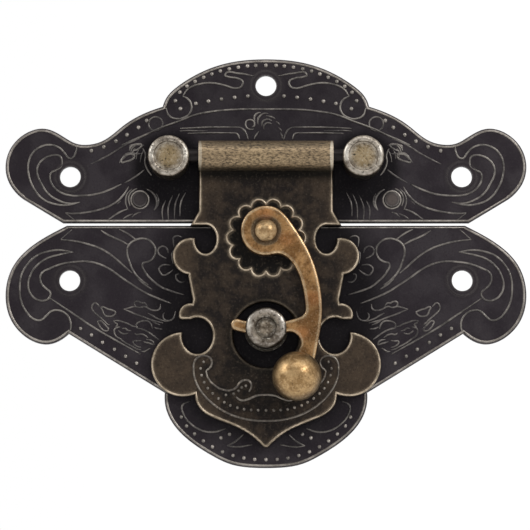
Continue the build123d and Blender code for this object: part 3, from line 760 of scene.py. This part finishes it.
lowerLeaves = {
    "bloomTop": [(350.7, 237.1), (355.4, 235.7), (358.9, 237.1), (359.4, 242.1), (358.7, 247.1)],
    "bloomSide": [(364.6, 252.9), (365, 250), (368.6, 246.4), (371.4, 246.4), (374.6, 249.3),
                  (374.3, 253.2), (370.7, 256.4), (366.4, 258.2)],
    "bloomLow": [(362.1, 265), (368.6, 264.6), (371.4, 265.7), (373.6, 268.6), (372.5, 272.1),
                 (369.3, 275), (364.3, 273.2), (359.3, 269.3)],
    "bloomFoot": [(353.6, 273.6), (356.1, 274.3), (356.8, 276.4), (355.7, 279.3), (352.5, 281.8),
                  (347.9, 281.4)],
    "bloomHeart": [(358.9, 250), (360.7, 253.6), (360.4, 258.6), (359.6, 263.6)],
    "plumeTop": [(372, 304), (373, 309), (378, 310.3), (383, 309), (388, 306.5), (393, 307.5),
                 (398, 306.5), (403, 307.8), (408.7, 309.2)],
    "plumeCurl": [(385, 307), (388, 303), (391, 303), (394, 301.5), (397.5, 302), (398, 305), (396, 307)],
    "plumeLow": [(408.7, 309.2), (403, 311.5), (396, 314.5), (390, 316.5), (386, 318), (381, 320),
                 (375, 321.5), (369, 323)],
    "plumeVein": [(385, 313), (380, 315.5), (376, 318), (371, 320), (366, 321.5)],
    "budRing": [(357, 311), (358, 316), (360, 319), (366, 320.5), (369, 318), (369.5, 315), (368, 312.5)],
    "leafA": [(373, 340), (377, 337), (381, 334), (386, 331), (391, 329), (395.5, 327.5), (395.8, 324),
              (393, 321.8), (389, 320.8), (384, 321.5), (381, 325), (380, 329)],
    "leafVein": [(370, 329), (375, 328.5), (379, 327)],
    "leafEdge": [(372, 325), (377, 323), (381, 321)],
    "vine": [(395.8, 327), (400, 326), (403, 324.5), (408, 322.5), (413, 321), (419, 320.5)],
    "podTop": [(431, 307.5), (425, 309), (420, 310.5), (417, 312.5), (419, 315.5), (424, 316.5),
               (428, 315), (430, 310.5), (431, 307.5)],
    "podTip": [(433, 307), (435, 304.5), (437.5, 303), (440, 305.5), (440.5, 309), (438, 312.5),
               (434, 316), (430, 319.5), (426, 323.5), (423, 325.5)],
    "leafB": [(424, 330), (426, 326.5), (429, 323.5), (432, 321), (434.5, 322), (433.5, 325),
              (431, 328.5), (427.5, 331), (424, 330)],
    "blossomTop": [(401, 331), (405, 330), (407, 328.5), (410.5, 328.5)],
    "blossomLow": [(404, 333), (408, 334), (412, 332.5), (414, 330.5)],
    "tendril": [(412, 327), (415, 327.5), (417.5, 329), (418, 333), (416, 336.5), (412, 339),
                (409, 341.5), (405, 344), (400, 346.5), (396, 348.8), (391, 350)],
    "tendrilTop": [(417, 327), (415, 325), (417, 323), (419, 321)],
    "waveA": [(384, 338), (388, 335), (392, 334), (396, 334.5), (398, 333)],
    "waveB": [(378, 345), (379, 342), (382, 340), (386, 339.5)],
    "waveC": [(378.5, 345), (382, 343.5), (386, 342.5), (389, 341.5)],
    "leafC": [(391, 340.5), (395, 341), (399, 341.5), (398.5, 344), (395, 346.5), (391, 347.5)],
    "waveD": [(382, 348), (385, 350), (388, 351.5), (391, 351.2)],
}
lowerBeads = {
    "border": [(81, 327), (92, 333.5), (103, 341), (115, 348), (126, 355), (137, 362)],
    "bowlInner": [(221, 437), (229.5, 433.5)],
    "bowlEdge": [(265.4, 459), (254.6, 458.7), (243.8, 457.3), (233, 454.8), (222.4, 451), (212.4, 446),
                 (203.3, 440), (194.6, 433), (186.6, 425), (181.5, 416)],
}
chasedLines("lower_scrollwork", places(lowerLines, "lower_plate"), lineShape, plateLineMetal, *onPlate)
chasedLines("lower_leaves", places(lowerLeaves, "lower_plate"), faintShape, plateFaintMetal, *onPlate)
beadRow("lower_beads", places(lowerBeads, "lower_plate"), smallBeadShape, plateBeadMetal, *onPlate)
rimLine("lower_rim", "lower_plate", rimShape, plateRimMetal, *onPlate)

strapLines = {
    "swirlOuter": [(206, 371), (211.2, 366), (211.4, 360), (207, 356.4), (200, 356.4), (195, 361),
                   (193.6, 370), (196, 382), (203, 394), (213, 404), (225, 412), (239, 417.6),
                   (253, 420.4), (265.4, 421)],
    "swirlInner": [(206, 371), (208, 378), (214, 385), (223, 389.8), (232, 390), (237, 387), (240, 382.4),
                   (245, 380.2), (250, 381.8), (251.4, 387), (249, 392)],
    "swirlLow": [(236, 397), (241, 400.4), (249, 399), (256, 396), (265.4, 395)],
}
strapBeads = {
    "swirl": [(203.6, 362), (200.6, 368.6), (201.6, 375.4), (204.2, 382.4), (207.8, 388.4),
              (212.6, 393.6), (218.4, 398.6), (224.4, 402.4), (230.4, 405.6), (237.4, 407.8),
              (244.2, 409.4), (251.2, 410.1), (258.2, 410.4), (265.4, 410.4)],
    "curl": [(226, 395), (233.6, 394), (238.6, 391), (241.6, 387.6), (246, 386)],
}
chasedLines(
    "strap_scrollwork", places(strapLines, "hasp_strap"), strapLineShape, strapFaintMetal, *onStrap,
)
beadRow("strap_beads", places(strapBeads, "hasp_strap"), strapBeadShape, strapBeadMetal, *onStrap)
rimLine("strap_rim", "hasp_strap", strapRimShape, strapLineMetal, *onStrap)
print("ornament laid on the plates and the strap")


# The room: a pale floor, soft lamps and a white background
room = {
    "floorDrop": 42.0, "floorSize": 3000.0, "floorTone": 0.85, "floorLift": 0.35, "worldLight": 0.35,
    "frontLight": 0.5, "frontFade": (-0.45, 0.25), "rightLight": 1.4, "rightFade": (-0.1, 0.7),
}
white = (1.0, 1.0, 1.0)


def seenRay(tree):
    # 1 where the camera or a reflection looks, and 0 for the light that falls on the object
    path = tree.nodes.new("ShaderNodeLightPath")
    mirror = maths(tree, "MAXIMUM", path.outputs["Is Glossy Ray"], path.outputs["Is Transmission Ray"])
    return maths(tree, "MAXIMUM", path.outputs["Is Camera Ray"], mirror)


def floorMaterial():
    # pale and diffuse, lifted to white only where the camera or a reflection looks at it
    material = bpy.data.materials.new("paleFloor")
    tree = emptyTree(material)
    output = tree.nodes.new("ShaderNodeOutputMaterial")
    diffuse = tree.nodes.new("ShaderNodeBsdfDiffuse")
    socket(tree, (room["floorTone"],) * 3, diffuse.inputs["Color"])
    lift = tree.nodes.new("ShaderNodeEmission")
    socket(tree, white, lift.inputs["Color"])
    socket(tree, times(tree, seenRay(tree), room["floorLift"]), lift.inputs["Strength"])
    both = tree.nodes.new("ShaderNodeAddShader")
    tree.links.new(diffuse.outputs[0], both.inputs[0])
    tree.links.new(lift.outputs[0], both.inputs[1])
    tree.links.new(both.outputs[0], output.inputs[0])
    return material


def addFloor():
    bm = bmesh.new()
    drop = Matrix.Translation((0, 0, cadBox[0].z - room["floorDrop"] * mm))
    bmesh.ops.create_grid(bm, x_segments=1, y_segments=1, size=room["floorSize"] / 2 * mm, matrix=drop)
    mesh = bpy.data.meshes.new("floor")
    bm.to_mesh(mesh)
    bm.free()
    mesh.materials.append(floorMaterial())
    floor = bpy.data.objects.new("floor", mesh)
    bpy.context.scene.collection.objects.link(floor)


def background(tree, strength):
    node = tree.nodes.new("ShaderNodeBackground")
    socket(tree, white, node.inputs["Color"])
    socket(tree, strength, node.inputs["Strength"])
    return node.outputs[0]


def addWorld():
    world = bpy.data.worlds.new("softRoom")
    bpy.context.scene.world = world
    tree = emptyTree(world)
    output = tree.nodes.new("ShaderNodeOutputWorld")
    facing = tree.nodes.new("ShaderNodeSeparateXYZ")
    tree.links.new(tree.nodes.new("ShaderNodeTexCoord").outputs["Generated"], facing.inputs[0])
    # reflections see white behind the object and a dimmer room in front of it, lighter on the right
    front = spread(tree, facing.outputs[1], *room["frontFade"], room["frontLight"], 1.0)
    side = spread(tree, facing.outputs[0], *room["rightFade"], 1.0, room["rightLight"])
    path = tree.nodes.new("ShaderNodeLightPath")
    seen = maths(tree, "MAXIMUM", path.outputs["Is Camera Ray"], times(tree, front, side))
    choose = tree.nodes.new("ShaderNodeMixShader")
    tree.links.new(seenRay(tree), choose.inputs[0])
    tree.links.new(background(tree, room["worldLight"]), choose.inputs[1])
    tree.links.new(background(tree, seen), choose.inputs[2])
    tree.links.new(choose.outputs[0], output.inputs[0])


def addFacing(name, data, target, away, distance):
    # a lamp or a camera at a distance from its target, looking at it
    holder = bpy.data.objects.new(name, data)
    holder.location = target + away * distance * mm
    holder.rotation_mode = "QUATERNION"
    holder.rotation_quaternion = (-away).to_track_quat("-Z", "Y")
    bpy.context.scene.collection.objects.link(holder)
    return holder


addFloor()
addWorld()
lamps = {
    "keyRight": {"from": (0.58, -0.66, 0.46), "distance": 620, "size": 200, "power": 1.7},
    "fillLeft": {"from": (-0.82, -0.35, 0.52), "distance": 620, "size": 300, "power": 1.3},
    "topSoft": {"from": (0.05, -0.62, 0.78), "distance": 620, "size": 340, "power": 0.8},
}
for name, lamp in lamps.items():
    light = bpy.data.lights.new(name, "AREA")
    light.size = lamp["size"] * mm
    light.energy = lamp["power"]
    addFacing(name, light, (cadBox[0] + cadBox[1]) / 2, Vector(lamp["from"]).normalized(), lamp["distance"])
print("room lit by", len(lamps), "lamps")

camera = bpy.data.cameras.new("photoCamera")
camera.sensor_width = view["sensor"]
camera.lens = view["sensor"] * view["distance"] / view["width"]
camera.clip_start = view["near"] * mm
camera.clip_end = view["far"] * mm
aim = Vector(view["aim"]) * mm
bpy.context.scene.camera = addFacing("photoCamera", camera, aim, viewBack, view["distance"])
bpy.context.scene.view_settings.view_transform = "Standard"

print("scene ready")
